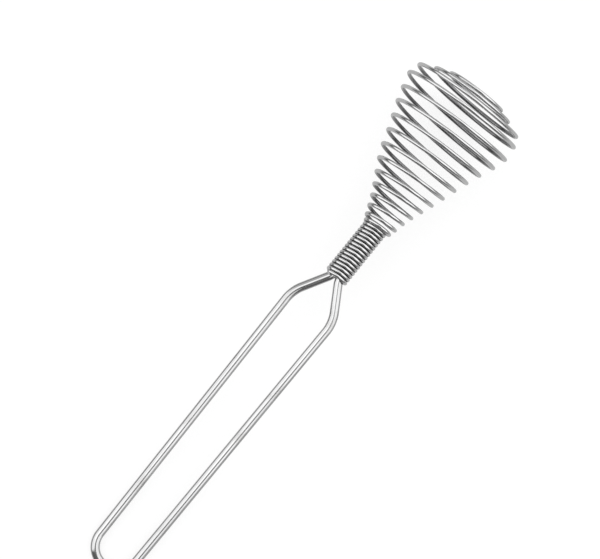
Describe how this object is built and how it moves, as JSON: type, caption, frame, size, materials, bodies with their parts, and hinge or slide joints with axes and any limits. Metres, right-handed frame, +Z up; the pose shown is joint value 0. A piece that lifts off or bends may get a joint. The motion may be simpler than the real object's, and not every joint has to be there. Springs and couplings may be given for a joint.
{
  "type": "spring coil whisk",
  "caption": "Hand whisk with a long wire loop handle, a close-wound neck and a cone-shaped spring coil head that gives when it is pressed.",
  "frame": {"origin": "centre of the bounding box at the table plane; the whisk lies on its handle's end bar and on the widest turn of its head", "axes": "+X from the handle's loop towards the tip of the head, +Z up from the table, +Y completing a right-handed frame. The whisk's own axis rises 6.2 degrees towards +X"},
  "size_m": [0.2296, 0.0506, 0.0506],
  "materials": {
    "handle_wire": "bright drawn stainless steel, 3.5 mm wire",
    "spring_wire": "bright drawn stainless spring steel, 1.5 mm wire"
  },
  "bodies": {
    "handle": {"handle_wire": "handle_wire", "neck_wrap": "spring_wire", "coil_turn_01": "spring_wire", "coil_turn_02": "spring_wire", "coil_turn_03": "spring_wire", "coil_turn_04": "spring_wire", "coil_turn_05": "spring_wire"},
    "turn_06": {"coil_turn_06": "spring_wire"},
    "turn_07": {"coil_turn_07": "spring_wire"},
    "turn_08": {"coil_turn_08": "spring_wire"},
    "turn_09": {"coil_turn_09": "spring_wire"},
    "turn_10": {"coil_turn_10": "spring_wire"},
    "turn_11": {"coil_turn_11": "spring_wire"},
    "turn_12": {"coil_turn_12": "spring_wire"},
    "turn_13": {"coil_turn_13": "spring_wire"},
    "tip": {"coil_turn_14": "spring_wire", "coil_turn_15": "spring_wire", "coil_turn_16": "spring_wire"}
  },
  "joints": [
    {"name": "tip_press", "type": "slide", "parent": "handle", "child": "tip", "axis": [-0.9942, 0, -0.1077], "range_m": [0, 0.012], "stiffness_N_per_m": 100},
    {"name": "turn_06_press", "type": "slide", "parent": "handle", "child": "turn_06", "axis": [-0.9942, 0, -0.1077], "range_m": [0, 0.000205]},
    {"name": "turn_07_press", "type": "slide", "parent": "handle", "child": "turn_07", "axis": [-0.9942, 0, -0.1077], "range_m": [0, 0.000541]},
    {"name": "turn_08_press", "type": "slide", "parent": "handle", "child": "turn_08", "axis": [-0.9942, 0, -0.1077], "range_m": [0, 0.00109]},
    {"name": "turn_09_press", "type": "slide", "parent": "handle", "child": "turn_09", "axis": [-0.9942, 0, -0.1077], "range_m": [0, 0.00188]},
    {"name": "turn_10_press", "type": "slide", "parent": "handle", "child": "turn_10", "axis": [-0.9942, 0, -0.1077], "range_m": [0, 0.00299]},
    {"name": "turn_11_press", "type": "slide", "parent": "handle", "child": "turn_11", "axis": [-0.9942, 0, -0.1077], "range_m": [0, 0.00448]},
    {"name": "turn_12_press", "type": "slide", "parent": "handle", "child": "turn_12", "axis": [-0.9942, 0, -0.1077], "range_m": [0, 0.00652]},
    {"name": "turn_13_press", "type": "slide", "parent": "handle", "child": "turn_13", "axis": [-0.9942, 0, -0.1077], "range_m": [0, 0.00911]}
  ],
  "couplings": [
    {"joint": "turn_06_press", "follows": "tip_press", "ratio": 0.017},
    {"joint": "turn_07_press", "follows": "tip_press", "ratio": 0.045},
    {"joint": "turn_08_press", "follows": "tip_press", "ratio": 0.091},
    {"joint": "turn_09_press", "follows": "tip_press", "ratio": 0.157},
    {"joint": "turn_10_press", "follows": "tip_press", "ratio": 0.249},
    {"joint": "turn_11_press", "follows": "tip_press", "ratio": 0.373},
    {"joint": "turn_12_press", "follows": "tip_press", "ratio": 0.543},
    {"joint": "turn_13_press", "follows": "tip_press", "ratio": 0.759}
  ]
}
